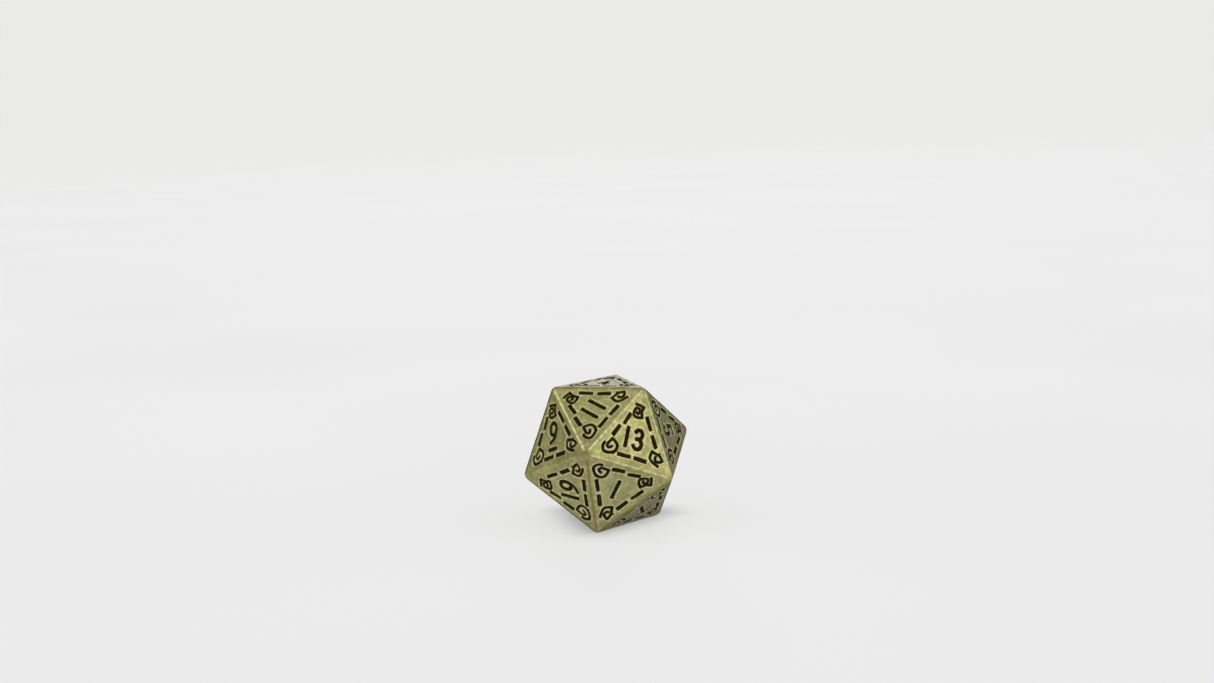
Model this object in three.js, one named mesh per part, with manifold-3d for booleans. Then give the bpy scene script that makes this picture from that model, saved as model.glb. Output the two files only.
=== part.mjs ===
// A twenty-sided gaming die: one zinc-alloy casting with rounded edges, standing on its 17 face with
// its 4 face up. Every face is engraved with a numeral, a border of dashes and a spiral at each corner.
// Each stroke of each numeral holds its own fill of hardened dark enamel, which is a separate piece.
import * as THREE from "three";
import { ConvexGeometry } from "three/addons/geometries/ConvexGeometry.js";
import { mergeVertices } from "three/addons/utils/BufferGeometryUtils.js";
import Module from "manifold-3d";

// Driving dimensions, in millimetres.
const ACROSS_FLATS = 20;
const EDGE_RADIUS = 0.9;
const GROOVE_DEPTH = 0.36;
const NUMERAL_STROKE = 0.5;
const DASH_STROKE = 0.5;
const SPIRAL_STROKE = 0.34;
const FILL_GAP = 0.03; // between a fill and the walls and floor of its groove
const FILL_DROP = 0.08; // from the face down to the top of a fill
const DIGIT_HALF_WIDTH = 0.62; // to the centrelines of the strokes
const DIGIT_HALF_HEIGHT = 1.36;
const DIGIT_PITCH = 1.74; // between the middles of two digits, one of which is a 1
const WIDE_DIGIT_PITCH = 2.05; // the same where neither is
const UNDERLINE_DROP = 1.03; // from the foot of a 6 or a 9 down to its underline
const UNDERLINE_SHIFT = -0.25; // of the middle of an underline to the right of its digit's
const UNDERLINE_HALF_LENGTH = 0.64;
const NUMERAL_RISE = 0.15; // of a numeral above the middle of its face
const UNDERLINED_RISE = 0.95; // the same for the digit of a 6 or a 9

// Sizes that follow from them.
const GOLDEN = (1 + Math.sqrt(5)) / 2;
const INRADIUS = ACROSS_FLATS / 2;
const EDGE = (INRADIUS * 12) / (Math.sqrt(3) * (3 + Math.sqrt(5)));
const FACE_RADIUS = EDGE / Math.sqrt(3);
const CUTTER_OVERSHOOT = 0.3; // of a cutter above the face that it cuts
const FLATNESS = 0.001; // to which joined and cut solids are tidied
const CURVE_STEP = Math.PI / 5; // longest turn of one facet of a curved stroke
const NUMERAL_END = NUMERAL_STROKE / 2; // of a stroke of a numeral past the end of its path
const SHARP_TURN = Math.PI / 3; // of a stroke, above which it is made as two runs that meet

const wasm = await Module();
wasm.setup();

// The twelve corners, named by level and by their angle about +Z in degrees: top, upper, lower, base.
const LEVELS = {
  top: { radius: FACE_RADIUS, height: INRADIUS, angles: [90, 210, 330] },
  upper: { radius: FACE_RADIUS * GOLDEN, height: INRADIUS / GOLDEN ** 3, angles: [30, 150, 270] },
  lower: { radius: FACE_RADIUS * GOLDEN, height: -INRADIUS / GOLDEN ** 3, angles: [90, 210, 330] },
  base: { radius: FACE_RADIUS, height: -INRADIUS, angles: [30, 150, 270] },
};
const OPPOSITE_LEVEL = { top: "base", upper: "lower", lower: "upper", base: "top" };

function cornerPoint(name) {
  const [level, angle] = name.split(" ");
  const { radius, height } = LEVELS[level];
  const turn = THREE.MathUtils.degToRad(Number(angle));
  return new THREE.Vector3(radius * Math.cos(turn), radius * Math.sin(turn), height);
}

function oppositeCorner(name) {
  const [level, angle] = name.split(" ");
  return `${OPPOSITE_LEVEL[level]} ${(Number(angle) + 180) % 360}`;
}

// Half of the faces: the number, then the corners clockwise from the one that the numeral points to,
// by how many thirds of a turn the border is turned against the numeral, and how far to the right of
// and above the middle of the face the engraver set it all.
const HALF_OF_FACES = [
  [1, ["base 270", "upper 270", "lower 330"], 1, [0.28, 0.08]],
  [3, ["base 150", "base 270", "lower 210"], 0, [0, 0]],
  [4, ["top 90", "top 330", "top 210"], 0, [0, 0]],
  [5, ["upper 30", "lower 330", "top 330"], 0, [-0.15, 0]],
  [7, ["base 30", "base 270", "lower 330"], 0, [0, 0]],
  [9, ["top 210", "upper 270", "lower 210"], 0, [0, 0]],
  [11, ["top 210", "top 330", "upper 270"], 0, [0, 0]],
  [13, ["top 330", "lower 330", "upper 270"], 0, [0, 0]],
  [15, ["upper 30", "base 30", "lower 330"], 0, [0, 0]],
  [19, ["lower 210", "upper 270", "base 270"], 0, [-0.22, -0.25]],
];
const FACES = HALF_OF_FACES.flatMap(([number, corners, borderTurn, shift]) => {
  const [tip, right, left] = corners.map(oppositeCorner);
  return [
    { number, corners, borderTurn, shift },
    { number: 21 - number, corners: [tip, left, right], borderTurn, shift },
  ];
}).sort((a, b) => a.number - b.number);

// Digits, as strokes in a box that reaches from -1 to 1 each way. An arc turns clockwise if it ends
// at a smaller angle than it starts at.
const at = (x, y) => [new THREE.Vector2(x, y)];

function arc(x, y, radiusX, radiusY, from, to) {
  const [start, end] = [from, to].map(THREE.MathUtils.degToRad);
  const steps = Math.max(2, Math.round(Math.abs(end - start) / CURVE_STEP));
  return Array.from({ length: steps + 1 }, (_, i) => {
    const angle = start + ((end - start) * i) / steps;
    return new THREE.Vector2(x + radiusX * Math.cos(angle), y + radiusY * Math.sin(angle));
  });
}

const open = (...parts) => ({ points: parts.flat(), closed: false });
const loop = (x, y, radiusX, radiusY) => ({
  points: arc(x, y, radiusX, radiusY, 0, 360).slice(0, -1),
  closed: true,
});
const NINE = [loop(0, 0.36, 1, 0.64), open(at(0.98, 0.3), at(0.6, -0.45), at(-1.05, -1))];
const turnedOver = (stroke) => ({ ...stroke, points: stroke.points.map((p) => p.clone().negate()) });
const DIGITS = {
  0: [loop(0, 0, 1, 1)],
  1: [open(at(0, -0.94), at(0, 0.94))],
  2: [open(arc(0, 0.42, 0.95, 0.58, 160, -30), at(-1, -1), at(1, -1))],
  3: [
    open(arc(-0.05, 0.52, 0.85, 0.48, 150, -80), at(-0.4, 0.04)),
    open(at(-0.4, 0.04), arc(-0.05, -0.47, 1, 0.53, 75, -150)),
  ],
  4: [open(at(0.35, 1), at(-1, -0.35), at(1, -0.35)), open(at(0.35, 1), at(0.35, -1))],
  5: [open(at(0.75, 1), at(-0.85, 1), at(-1.05, 0.12), arc(-0.2, -0.35, 1, 0.65, 110, -150))],
  6: NINE.map(turnedOver),
  7: [open(at(-1, 1), at(1, 1), at(-0.35, -1))],
  8: [loop(0, 0.5, 0.8, 0.5), loop(0, -0.46, 1, 0.54)],
  9: NINE,
};

// The border, drawn by hand about the middle of the face: two dashes along each side, and in each
// corner a spiral, which is one path from its outer end to its middle about a centre of its own.
const DASHES = [
  [[-1.25, 3.51], [-1.92, 1.92]],
  [[-2.51, 1.42], [-3.22, -0.11]],
  [[1.22, 3.63], [2.11, 1.97]],
  [[2.49, 1.22], [3.38, -0.23]],
  [[-2.02, -2.55], [-0.22, -2.51]],
  [[0.49, -2.51], [2.23, -2.56]],
];
const SPIRALS = [
  {
    centre: [-0.11, 4.15],
    path: [[-0.62, 0.93], [0.65, 0.75], [0.5, 0], [0.65, -0.8], [0, -0.93], [-0.53, -0.84],
      [-0.69, -0.08], [-0.23, 0.44], [0.15, 0.04], [0, -0.38]],
  },
  {
    centre: [-3.27, -1.74],
    path: [[-0.93, 0.31], [-1.15, -0.3], [-0.89, -0.97], [0.18, -0.89], [0.66, -0.84],
      [1.02, 0.18], [0.71, 0.66], [0.09, 1.11], [-0.49, 0], [-0.35, -0.31], [0.22, 0]],
  },
  {
    centre: [3.6, -1.74],
    path: [[0.62, -1.02], [-0.62, -0.44], [-0.89, 0], [-0.71, 0.89], [-0.18, 0.71],
      [0.53, 0.89], [1.11, -0.05], [0.71, -0.35], [0.27, -0.4], [-0.05, 0.09]],
  },
];

// One side of a stroke: its path moved sideways, with mitred corners.
function offsetPath(points, closed, distance) {
  const count = points.length;
  return points.map((point, i) => {
    const before = closed ? points[(i + count - 1) % count] : points[i - 1];
    const after = closed ? points[(i + 1) % count] : points[i + 1];
    const sides = [before && point.clone().sub(before), after && after.clone().sub(point)]
      .filter(Boolean)
      .map((run) => new THREE.Vector2(-run.y, run.x).normalize());
    const middle = sides.reduce((sum, side) => sum.add(side), new THREE.Vector2()).normalize();
    return point.clone().addScaledVector(middle, distance / middle.dot(sides[0]));
  });
}

// Lengthens a path at both ends.
function extended(points, before, after) {
  const longer = points.map((p) => p.clone());
  const last = points.length - 1;
  for (const [end, next, distance] of [[0, 1, before], [last, last - 1, after]]) {
    const run = points[end].clone().sub(points[next]).normalize();
    longer[end].addScaledVector(run, distance);
  }
  return longer;
}

// An open path cut where it turns sharply, with its runs lengthened so that they fill the corners.
function runsOf(points, width, endExtension) {
  const last = points.length - 1;
  const turns = points.map((point, i) => {
    if (i === 0 || i === last) return 0;
    const [before, after] = [point.clone().sub(points[i - 1]), points[i + 1].clone().sub(point)];
    return before.angleTo(after);
  });
  const cuts = [0, ...turns.keys().filter((i) => turns[i] > SHARP_TURN), last];
  const reach = (i) => {
    if (i === 0 || i === last) return endExtension;
    return (width / 2) * Math.min(1, Math.tan(turns[i] / 2));
  };
  return cuts.slice(1).map((to, k) => {
    const from = cuts[k];
    return extended(points.slice(from, to + 1), reach(from), reach(to));
  });
}

function strokeShapes({ points, closed }, width, endExtension) {
  if (closed) {
    const shape = new THREE.Shape(offsetPath(points, true, -width / 2));
    shape.holes.push(new THREE.Path(offsetPath(points, true, width / 2)));
    return [shape];
  }
  return runsOf(points, width, endExtension).map((run) => {
    const left = offsetPath(run, false, width / 2);
    const right = offsetPath(run, false, -width / 2);
    return new THREE.Shape([...left, ...right.reverse()]);
  });
}

function solidOf(geometry) {
  const bare = geometry.clone().deleteAttribute("normal").deleteAttribute("uv");
  const merged = mergeVertices(bare, 1e-4);
  const vertProperties = merged.attributes.position.array;
  const triVerts = new Uint32Array(merged.index.array);
  return new wasm.Manifold(new wasm.Mesh({ numProp: 3, vertProperties, triVerts }));
}

function geometryOf(solid) {
  const mesh = solid.getMesh();
  const geometry = new THREE.BufferGeometry();
  geometry.setAttribute("position", new THREE.BufferAttribute(mesh.vertProperties, 3));
  geometry.setIndex(new THREE.BufferAttribute(mesh.triVerts, 1));
  geometry.computeVertexNormals();
  return geometry;
}

// The same solid with no more triangles in its flat faces than they need.
const tidied = (solid) => solid.asOriginal().simplify(FLATNESS);
const joined = (solids) => solids.reduce((whole, solid) => whole.add(solid));

// A mark's strokes as one closed body between two heights above the plane of its face.
function markGeometry(strokes, width, endExtension, low, high) {
  const shapes = strokes.flatMap((stroke) => strokeShapes(stroke, width, endExtension));
  const settings = { depth: high - low, bevelEnabled: false };
  const pieces = shapes.map((shape) => new THREE.ExtrudeGeometry(shape, settings));
  return geometryOf(tidied(joined(pieces.map((piece) => solidOf(piece.translate(0, 0, low))))));
}

function cutterOf(strokes, width, endExtension, placement) {
  const mark = markGeometry(strokes, width, endExtension, -GROOVE_DEPTH, CUTTER_OVERSHOOT);
  return solidOf(mark.applyMatrix4(placement));
}

function fillGeometry(strokes) {
  const width = NUMERAL_STROKE - 2 * FILL_GAP;
  return markGeometry(strokes, width, NUMERAL_END - FILL_GAP, -GROOVE_DEPTH + FILL_GAP, -FILL_DROP);
}

// Where the digits' middles lie, so that the whole numeral is centred.
function digitPlaces(digits) {
  if (digits.length === 1) return [0];
  const pitch = digits.includes("1") ? DIGIT_PITCH : WIDE_DIGIT_PITCH;
  const [first, second] = digits.map((digit) => (digit === "1" ? 0 : DIGIT_HALF_WIDTH));
  const middle = (first - second) / 2;
  return [middle - pitch / 2, middle + pitch / 2];
}

// A numeral's marks: each digit with its place, and the underline of a 6 or a 9.
function numeralMarks({ number, shift }) {
  const digits = [...String(number)];
  const underlined = number === 6 || number === 9;
  const rise = shift[1] + (underlined ? UNDERLINED_RISE : NUMERAL_RISE);
  const scale = new THREE.Vector2(DIGIT_HALF_WIDTH, DIGIT_HALF_HEIGHT);
  const marks = digitPlaces(digits).map((middle, i) => {
    const part = digits.length === 1 ? "" : ["_tens", "_units"][i];
    const strokes = DIGITS[digits[i]].map((stroke) => ({
      ...stroke,
      points: stroke.points.map((p) => p.clone().multiply(scale)),
    }));
    return { name: `numeral_fill_${number}${part}`, strokes, place: [shift[0] + middle, rise] };
  });
  if (underlined) {
    const place = [shift[0] + UNDERLINE_SHIFT, rise - DIGIT_HALF_HEIGHT - UNDERLINE_DROP];
    const strokes = [open(at(-UNDERLINE_HALF_LENGTH, 0), at(UNDERLINE_HALF_LENGTH, 0))];
    marks.push({ name: `numeral_fill_${number}_underline`, strokes, place });
  }
  return marks;
}

// The border's cutters: its dashes and its spirals.
function borderCutters(frame, { borderTurn, shift }) {
  const turned = frame
    .clone()
    .multiply(new THREE.Matrix4().makeTranslation(...shift, 0))
    .multiply(new THREE.Matrix4().makeRotationZ((borderTurn * 2 * Math.PI) / 3));
  const dashes = DASHES.map((path) => ({ centre: [0, 0], path, width: DASH_STROKE }));
  const spirals = SPIRALS.map(({ centre, path }) => ({ centre, path, width: SPIRAL_STROKE }));
  return [...dashes, ...spirals].map(({ centre, path, width }) => {
    const stroke = open(path.map(([x, y]) => new THREE.Vector2(x, y)));
    const placement = turned.clone().multiply(new THREE.Matrix4().makeTranslation(...centre, 0));
    return cutterOf([stroke], width, 0, placement);
  });
}

// A face's frame: X to the right of its numeral, Y up it, Z out of the die.
function faceFrame({ corners }) {
  const points = corners.map(cornerPoint);
  const centre = points[0].clone().add(points[1]).add(points[2]).divideScalar(3);
  const up = points[0].clone().sub(centre).normalize();
  const out = centre.clone().normalize();
  const right = new THREE.Vector3().crossVectors(up, out);
  return new THREE.Matrix4().makeBasis(right, up, out).setPosition(centre);
}

// The casting before engraving: the hull of balls at the corners of a smaller icosahedron.
function roundedIcosahedron() {
  const names = Object.entries(LEVELS).flatMap(([level, { angles }]) =>
    angles.map((angle) => `${level} ${angle}`),
  );
  const normals = FACES.map(({ corners }) =>
    corners.map(cornerPoint).reduce((sum, p) => sum.add(p), new THREE.Vector3()).normalize(),
  );
  const nearest = 0.5; // the smallest cosine between a corner and a face that meets it
  const points = names.flatMap((name) => {
    const corner = cornerPoint(name);
    const around = corner.clone().normalize();
    const faces = normals.filter((normal) => normal.dot(around) > nearest);
    const beside = GOLDEN / 3 + 0.1; // under the cosine between two faces that share an edge
    const edges = faces.flatMap((a, i) =>
      faces.slice(i + 1).filter((b) => a.dot(b) > beside).map((b) => a.clone().add(b).normalize()),
    );
    const centre = corner.clone().multiplyScalar((INRADIUS - EDGE_RADIUS) / INRADIUS);
    return [...faces, ...edges, around].map((way) => centre.clone().addScaledVector(way, EDGE_RADIUS));
  });
  return solidOf(new ConvexGeometry(points));
}

const castMetal = new THREE.MeshStandardMaterial({ color: 0x9c9258, metalness: 0.9, roughness: 0.42 });
const enamel = new THREE.MeshStandardMaterial({ color: 0x17140c, metalness: 0, roughness: 0.55 });

const die = new THREE.Group();
die.position.z = INRADIUS;
const cutters = [];
for (const face of FACES) {
  const frame = faceFrame(face);
  const group = new THREE.Group();
  frame.decompose(group.position, group.quaternion, group.scale);
  for (const { name, strokes, place } of numeralMarks(face)) {
    const placement = frame.clone().multiply(new THREE.Matrix4().makeTranslation(...place, 0));
    cutters.push(cutterOf(strokes, NUMERAL_STROKE, NUMERAL_END, placement));
    const fill = new THREE.Mesh(fillGeometry(strokes), enamel);
    fill.name = name;
    fill.position.set(...place, 0);
    group.add(fill);
  }
  cutters.push(...borderCutters(frame, face));
  die.add(group);
}
const body = tidied(roundedIcosahedron().subtract(joined(cutters)));
const casting = new THREE.Mesh(geometryOf(body), castMetal);
casting.name = "die_casting";
die.add(casting);

export default die;
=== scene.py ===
"""A twenty-sided metal die: antiqued brass casting with engraved numerals, dashes and spirals."""

import math

import bmesh
import bpy
import numpy as np
from mathutils import Matrix, Vector, noise
from mathutils.geometry import delaunay_2d_cdt


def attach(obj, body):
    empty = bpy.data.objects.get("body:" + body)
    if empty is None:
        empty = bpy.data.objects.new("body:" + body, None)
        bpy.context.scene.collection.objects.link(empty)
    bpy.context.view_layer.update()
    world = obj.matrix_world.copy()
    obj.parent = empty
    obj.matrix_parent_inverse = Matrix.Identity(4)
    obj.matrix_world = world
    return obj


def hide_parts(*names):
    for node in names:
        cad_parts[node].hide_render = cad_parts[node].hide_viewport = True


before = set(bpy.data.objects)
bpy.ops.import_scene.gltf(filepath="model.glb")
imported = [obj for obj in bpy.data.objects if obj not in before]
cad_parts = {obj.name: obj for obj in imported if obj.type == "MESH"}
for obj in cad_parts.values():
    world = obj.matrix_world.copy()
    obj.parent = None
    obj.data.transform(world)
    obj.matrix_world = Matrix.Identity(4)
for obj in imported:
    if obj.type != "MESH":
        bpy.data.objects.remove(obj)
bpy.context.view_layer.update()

MM = 0.001

# The icosahedron, as in the CAD model, in millimetres about its own centre.
GOLDEN = (1 + math.sqrt(5)) / 2
INRADIUS = 10.0
EDGE_RADIUS = 0.9
EDGE = INRADIUS * 12 / (math.sqrt(3) * (3 + math.sqrt(5)))
FACE_RADIUS = EDGE / math.sqrt(3)
FLAT_SHARE = 1 - EDGE_RADIUS / INRADIUS  # of a face that is flat
LEVELS = {
    "top": (FACE_RADIUS, INRADIUS, (90, 210, 330)),
    "upper": (FACE_RADIUS * GOLDEN, INRADIUS / GOLDEN**3, (30, 150, 270)),
    "lower": (FACE_RADIUS * GOLDEN, -INRADIUS / GOLDEN**3, (90, 210, 330)),
    "base": (FACE_RADIUS, -INRADIUS, (30, 150, 270)),
}
OPPOSITE_LEVEL = {"top": "base", "upper": "lower", "lower": "upper", "base": "top"}
OPPOSITE_SUM = 21  # of the numbers of opposite faces
# Angles of a face's corners and of its sides' normals, in the face's own axes.
CORNER_ANGLES = (90, 210, 330)
SIDE_ANGLES = (270, 30, 150)

# Half of the faces: number, corners clockwise from the one that the numeral points to, by how many
# thirds of a turn the border is turned against the numeral, and how far off the middle it all sits.
HALF_OF_FACES = (
    (1, ("base 270", "upper 270", "lower 330"), 1, (0.30, 0.08)),
    (3, ("base 150", "base 270", "lower 210"), 0, (0.0, 0.0)),
    (4, ("top 90", "top 330", "top 210"), 0, (0.0, 0.0)),
    (5, ("upper 30", "lower 330", "top 330"), 0, (-0.15, 0.0)),
    (7, ("base 30", "base 270", "lower 330"), 0, (0.0, 0.0)),
    (9, ("top 210", "upper 270", "lower 210"), 0, (0.0, 0.0)),
    (11, ("top 210", "top 330", "upper 270"), 0, (0.0, 0.0)),
    (13, ("top 330", "lower 330", "upper 270"), 0, (0.0, 0.0)),
    (15, ("upper 30", "base 30", "lower 330"), 0, (0.0, 0.0)),
    (19, ("lower 210", "upper 270", "base 270"), 0, (-0.25, -0.25)),
)

# The engraving.
NUMERAL_STROKE = 0.46
DASH_STROKE = 0.48
SPIRAL_STROKE = 0.335
GROOVE_DEPTH = 0.36
DIGIT_HALF_WIDTH = 0.62
DIGIT_HALF_HEIGHT = 1.36
DIGIT_PITCH = 1.74
WIDE_DIGIT_PITCH = 2.05
UNDERLINE_DROP = 1.03
UNDERLINE_SHIFT = -0.25
UNDERLINE_HALF_LENGTH = 0.64
NUMERAL_RISE = 0.15
UNDERLINED_RISE = 0.95
DASHES = (
    ((-1.25, 3.49), (-1.90, 1.90)),
    ((-2.50, 1.41), (-3.20, -0.11)),
    ((1.22, 3.61), (2.10, 1.95)),
    ((2.48, 1.22), (3.36, -0.23)),
    ((-2.01, -2.54), (-0.21, -2.50)),
    ((0.49, -2.50), (2.22, -2.54)),
)
# Each spiral's centre, and its path from the outer end to the middle. A third entry marks a sharp
# corner.
SPIRALS = (
    ((-0.11, 4.12), (
        (-0.60, 0.91), (0.00, 0.86), (0.63, 0.73, 1), (0.49, 0.34), (0.45, 0.00),
        (0.51, -0.41), (0.63, -0.78, 1), (0.00, -0.91), (-0.52, -0.82), (-0.70, -0.44),
        (-0.67, -0.08), (-0.52, 0.29), (-0.22, 0.43), (0.06, 0.30), (0.15, 0.04),
        (0.08, -0.21), (-0.12, -0.35), (-0.30, -0.22),
    )),
    ((-3.26, -1.74), (
        (-0.91, 0.30), (-1.07, 0.00), (-1.12, -0.39), (-1.01, -0.78), (-0.78, -0.97),
        (-0.34, -0.99), (0.18, -0.90), (0.60, -0.70), (0.91, -0.29), (0.99, 0.18),
        (0.80, 0.58), (0.41, 0.88), (0.09, 1.08, 1), (-0.12, 0.76), (-0.35, 0.44),
        (-0.49, 0.05), (-0.36, -0.27), (-0.05, -0.21), (0.21, 0.00),
    )),
    ((3.58, -1.74), (
        (0.60, -0.99), (0.05, -0.78), (-0.49, -0.51), (-0.80, -0.20), (-0.84, 0.20),
        (-0.76, 0.58), (-0.69, 0.87, 1), (-0.20, 0.72), (0.37, 0.60), (0.73, 0.34),
        (1.08, -0.05, 1), (0.73, -0.31), (0.31, -0.41), (0.02, -0.23), (-0.10, 0.04),
        (0.02, 0.25),
    )),
)
# Short spurs, where the graver overshot a corner of a spiral: spiral number, from, to.
SPURS = (
    (1, (0.05, 0.93), (0.06, 1.21)),
    (1, (0.49, -0.76), (0.64, -0.96)),
    (2, (-0.64, 0.78), (-0.78, 0.97)),
    (2, (0.35, 0.62), (0.49, 0.92)),
    (0, (-0.47, -0.78), (-0.60, -0.86)),
)
# Half widths of strokes at their ends, as shares of the half width at their starts.
DASH_TAPERS = (0.86, 1.12)
SPIRAL_TAPER = 0.9
SPUR_TAPER = 0.45
SPUR_SHARE = 0.9  # of a spiral's half width, with which a spur starts
# How far an open stroke goes past its end points, as shares of its half width.
NUMERAL_OVERSHOOT = 1.0
BORDER_OVERSHOOT = 0.3
# The unevenness of the marks is shifted along x by a step for each number of a face, in mm, and
# against y by a share of that.
SEED_STEP = 0.37
SEED_SLANT = 0.7

# How bright each edge is painted: rubbed bright (1), partly a painted highlight where the edge
# catches the light, down to a painted dark line of shade along its ridge (0). The others vary by
# EDGE_TURN, in radians from one edge to the next.
EDGE_WEAR_AND_LIGHT = {
    ("top 330", "upper 270"): 1.0,
    ("top 210", "upper 270"): 0.95,
    ("lower 330", "upper 270"): 1.0,
    ("lower 210", "upper 270"): 0.4,
    ("base 270", "upper 270"): 0.1,
    ("lower 330", "top 330"): 1.0,
    ("top 210", "top 330"): 0.5,
    ("base 270", "lower 330"): 0.1,
    ("lower 210", "top 210"): 0.0,
    ("base 270", "lower 210"): 0.0,
    ("top 330", "upper 30"): 0.0,
    ("lower 330", "upper 30"): 0.0,
    ("base 30", "lower 330"): 0.0,
    ("base 270", "base 30"): 0.0,
}
EDGE_TURN = 2.4
# How much painted shade each face gets: the faces turned from the light are painted darker and
# greyer, the lit faces 9, 11 and 13 not at all.
FACE_PAINTED_SHADE = {1: 0.28, 5: 0.35, 7: 0.45, 9: 0.0, 11: 0.0, 13: 0.0, 19: 0.24}
# The slight darkening that every other face gets.
USUAL_FACE_SHADE = 0.08
FACE_SHADE_FADE = 0.5  # mm over which a face's painted shade fades towards its rim
CORNER_BLEND = 0.8  # mm over which the painted wear and light of edges that meet in a corner blends
EDGE_PULL = 3  # power of the distance by which a near edge counts more than a far one
EDGE_PULL_SOFTNESS = 0.05  # mm added to that distance


def corner_point(name):
    level, angle = name.split(" ")
    radius, height, _ = LEVELS[level]
    turn = math.radians(float(angle))
    return np.array([radius * math.cos(turn), radius * math.sin(turn), height])


def opposite_corner(name):
    level, angle = name.split(" ")
    return f"{OPPOSITE_LEVEL[level]} {(int(angle) + 180) % 360}"


def all_faces():
    faces = {}
    for number, corners, border_turn, shift in HALF_OF_FACES:
        faces[number] = (corners, border_turn, shift)
        tip, right, left = (opposite_corner(name) for name in corners)
        faces[OPPOSITE_SUM - number] = ((tip, left, right), border_turn, shift)
    return dict(sorted(faces.items()))


FACES = all_faces()


def edge_polish():
    """The painted wear and light of each edge, by its two corners in alphabetical order."""
    keys = {tuple(sorted((c[k], c[(k + 1) % 3]))) for c, _, _ in FACES.values() for k in range(3)}
    return {
        key: EDGE_WEAR_AND_LIGHT.get(key, 0.5 + 0.5 * math.sin(EDGE_TURN * i))
        for i, key in enumerate(sorted(keys))
    }


WEAR_AND_LIGHT = edge_polish()


def corner_polish(name):
    values = [value for key, value in WEAR_AND_LIGHT.items() if name in key]
    return sum(values) / len(values)


def polish_at(points, key):
    """Painted wear and light of points near an edge, blending into its neighbours' at its ends."""
    total = np.full(len(points), WEAR_AND_LIGHT[key])
    for name in key:
        reach = np.linalg.norm(points - corner_point(name) * FLAT_SHARE, axis=1)
        share = np.exp(-np.square(reach / CORNER_BLEND))
        total = total * (1 - share) + corner_polish(name) * share
    return total


def face_polish(points, corners):
    """The painted wear and light of points of a face: that of its edges, the nearest ones most."""
    total, weights = 0, 0
    for k in range(3):
        names = corners[k], corners[(k + 1) % 3]
        a, b = (corner_point(name) for name in names)
        away = np.linalg.norm(np.cross(points - a, (b - a) / np.linalg.norm(b - a)), axis=1)
        weight = 1 / (away + EDGE_PULL_SOFTNESS) ** EDGE_PULL
        total = total + weight * polish_at(points, tuple(sorted(names)))
        weights = weights + weight
    return total / weights


class FaceFrame:
    """A face's own axes: x to the right of its numeral, y up it, z out of the die."""

    def __init__(self, corners):
        points = [corner_point(name) for name in corners]
        self.centre = sum(points) / 3
        self.out = self.centre / np.linalg.norm(self.centre)
        up = points[0] - self.centre
        self.up = up / np.linalg.norm(up)
        self.right = np.cross(self.up, self.out)

    def place(self, x, y, z):
        return (
            self.centre
            + np.outer(x, self.right)
            + np.outer(y, self.up)
            + np.outer(z, self.out)
        )


# ---- strokes

ARC_STEP = 12  # degrees
CURVE_STEPS = 4  # between two points of a smooth path


def arc(x, y, radius_x, radius_y, start, end):
    steps = max(4, round(abs(end - start) / ARC_STEP))
    angles = np.radians(np.linspace(start, end, steps + 1))
    return [(x + radius_x * math.cos(a), y + radius_y * math.sin(a)) for a in angles]


def closed_oval(x, y, radius_x, radius_y):
    return {"path": arc(x, y, radius_x, radius_y, 0, 360)[:-1], "closed": True}


def stroke(*parts):
    return {"path": [p for part in parts for p in part], "closed": False}


def turned_over(item):
    return {**item, "path": [(-x, -y) for x, y in item["path"]]}


def curve_between(p0, p1, p2, p3, t):
    """A point of the Catmull-Rom curve from p1 to p2."""
    return 0.5 * (
        2 * p1
        + (p2 - p0) * t
        + (2 * p0 - 5 * p1 + 4 * p2 - p3) * t * t
        + (3 * p1 - p0 - 3 * p2 + p3) * t**3
    )


def smooth_path(points):
    """A smooth curve through the points, with its direction broken at those marked as sharp."""
    xy = [np.array(p[:2], float) for p in points]
    sharp = [len(p) > 2 for p in points]
    last = len(xy) - 1
    out = [xy[0]]
    for i in range(last):
        before = xy[i] if i == 0 or sharp[i] else xy[i - 1]
        after = xy[i + 1] if i + 1 == last or sharp[i + 1] else xy[i + 2]
        for k in range(1, CURVE_STEPS + 1):
            out.append(curve_between(before, xy[i], xy[i + 1], after, k / CURVE_STEPS))
    return [tuple(p) for p in out]


# The digits, each in a box from -1 to 1 both ways.
NINE_TAIL = [(0.98, 0.30), (0.86, -0.10), (0.45, -0.50), (-0.25, -0.82), (-1.05, -1.0)]
NINE = (closed_oval(0, 0.36, 1, 0.64), stroke(smooth_path(NINE_TAIL)))
DIGITS = {
    "0": (closed_oval(0, 0, 1, 1),),
    "1": (stroke([(0, -0.94), (0, 0.94)]),),
    "2": (
        stroke(arc(0, 0.42, 0.95, 0.58, 165, -15), [(0.62, -0.22), (-1, -1)]),
        stroke([(-1, -1), (1, -1)]),
    ),
    "3": (
        stroke(arc(-0.05, 0.52, 0.85, 0.48, 150, -80), [(-0.4, 0.04)]),
        stroke([(-0.4, 0.04)], arc(-0.05, -0.47, 1, 0.53, 75, -150)),
    ),
    "4": (
        stroke([(0.35, 1), (-1, -0.35)]),
        stroke([(-1, -0.35), (1, -0.35)]),
        stroke([(0.35, 1), (0.35, -1)]),
    ),
    "5": (
        stroke([(0.75, 1), (-0.85, 1)]),
        stroke([(-0.85, 1), (-1.05, 0.12)]),
        stroke([(-1.05, 0.12)], arc(-0.2, -0.35, 1, 0.65, 110, -150)),
    ),
    "6": tuple(turned_over(item) for item in NINE),
    "7": (stroke([(-1, 1), (1, 1)]), stroke([(1, 1), (-0.35, -1)])),
    "8": (closed_oval(0, 0.5, 0.8, 0.5), closed_oval(0, -0.46, 1, 0.54)),
    "9": NINE,
}


def placed(item, x, y, half_size, half_width, taper, overshoot):
    """A stroke scaled and moved into place, with its half widths and its overshoot."""
    wide, high = half_size
    return {
        "path": [(x + px * wide, y + py * high) for px, py in item["path"]],
        "closed": item["closed"],
        "half_width": (half_width, half_width * taper),
        "overshoot": overshoot,
    }


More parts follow.
